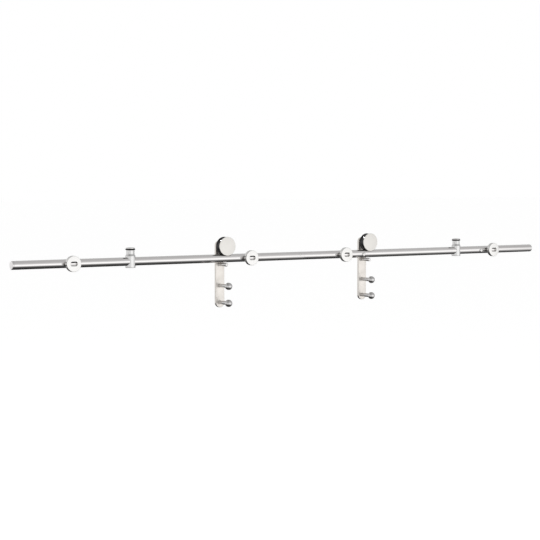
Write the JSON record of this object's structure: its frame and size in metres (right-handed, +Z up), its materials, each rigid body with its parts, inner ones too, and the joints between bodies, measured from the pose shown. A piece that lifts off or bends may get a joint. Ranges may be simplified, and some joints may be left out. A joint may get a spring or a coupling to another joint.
{
  "type": "sliding barn door hardware",
  "caption": "Round stainless rail on wall standoffs with rolling strap hangers that clamp a door through the face, and clamped end stops with rubber rings.",
  "frame": {"origin": "on the wall plane, at the rail's mid-length and centre height", "axes": "+X along the rail, +Y from the wall into the room, +Z up"},
  "size_m": [2, 0.0737, 0.2188],
  "materials": {
    "polished_steel": "polished stainless steel, mirror-like",
    "satin_steel": "fine satin stainless steel",
    "screw_steel": "bright turned stainless steel",
    "black_nylon": "black, slightly glossy",
    "black_rubber": "black, matt"
  },
  "bodies": {
    "rail_assembly": {"rail_tube_left": "polished_steel", "rail_tube_right": "polished_steel", "rail_joiner": "satin_steel", "joiner_screw": "screw_steel", "end_cap_left": "polished_steel", "end_cap_right": "polished_steel", "rail_plug_1": "polished_steel", "rail_plug_2": "polished_steel", "wall_flange_1": "polished_steel", "standoff_post_1": "polished_steel", "rail_bolt_1": "screw_steel", "wall_flange_2": "polished_steel", "standoff_post_2": "polished_steel", "rail_bolt_2": "screw_steel", "wall_flange_3": "polished_steel", "standoff_post_3": "polished_steel", "rail_bolt_3": "screw_steel", "wall_flange_4": "polished_steel", "standoff_post_4": "polished_steel", "rail_bolt_4": "screw_steel"},
    "hanger_left": {"strap_plate_left": "satin_steel", "axle_bolt_left": "screw_steel", "axle_spacer_left": "polished_steel", "bearing_inner_left": "screw_steel", "axle_nut_left": "screw_steel", "guard_pin_left": "polished_steel", "guard_pin_screw_left": "screw_steel", "door_screw_upper_left": "screw_steel", "door_sleeve_nut_upper_left": "polished_steel", "door_screw_lower_left": "screw_steel", "door_sleeve_nut_lower_left": "polished_steel"},
    "wheel_left": {"wheel_roller_left": "black_nylon", "wheel_cover_front_left": "satin_steel", "wheel_cover_rear_left": "black_nylon", "bearing_outer_left": "screw_steel"},
    "stop_left": {"stop_body_left": "polished_steel", "stop_bumper_left": "black_rubber", "stop_cap_screw_left": "polished_steel", "stop_set_screw_left": "screw_steel"},
    "hanger_right": {"strap_plate_right": "satin_steel", "axle_bolt_right": "screw_steel", "axle_spacer_right": "polished_steel", "bearing_inner_right": "screw_steel", "axle_nut_right": "screw_steel", "guard_pin_right": "polished_steel", "guard_pin_screw_right": "screw_steel", "door_screw_upper_right": "screw_steel", "door_sleeve_nut_upper_right": "polished_steel", "door_screw_lower_right": "screw_steel", "door_sleeve_nut_lower_right": "polished_steel"},
    "wheel_right": {"wheel_roller_right": "black_nylon", "wheel_cover_front_right": "satin_steel", "wheel_cover_rear_right": "black_nylon", "bearing_outer_right": "screw_steel"},
    "stop_right": {"stop_body_right": "polished_steel", "stop_bumper_right": "black_rubber", "stop_cap_screw_right": "polished_steel", "stop_set_screw_right": "screw_steel"}
  },
  "joints": [
    {"name": "hanger_left_travel", "type": "slide", "parent": "rail_assembly", "child": "hanger_left", "axis": [1, 0, 0], "range_m": [-0.283, 0.243]},
    {"name": "wheel_left_spin", "type": "hinge", "parent": "hanger_left", "child": "wheel_left", "pos_m": [-0.2885, 0.03, 0.037], "axis": [0, 1, 0], "continuous": true},
    {"name": "hanger_right_travel", "type": "slide", "parent": "rail_assembly", "child": "hanger_right", "axis": [1, 0, 0], "range_m": [-0.227, 0.335]},
    {"name": "wheel_right_spin", "type": "hinge", "parent": "hanger_right", "child": "wheel_right", "pos_m": [0.268, 0.03, 0.037], "axis": [0, 1, 0], "continuous": true},
    {"name": "stop_left_adjust", "type": "slide", "parent": "rail_assembly", "child": "stop_left", "axis": [1, 0, 0], "range_m": [-0.15, 0]},
    {"name": "stop_right_adjust", "type": "slide", "parent": "rail_assembly", "child": "stop_right", "axis": [1, 0, 0], "range_m": [0, 0.075]}
  ],
  "couplings": [
    {"joint": "wheel_left_spin", "follows": "hanger_left_travel", "rad_per_m": 40.816},
    {"joint": "wheel_right_spin", "follows": "hanger_right_travel", "rad_per_m": 40.816}
  ]
}
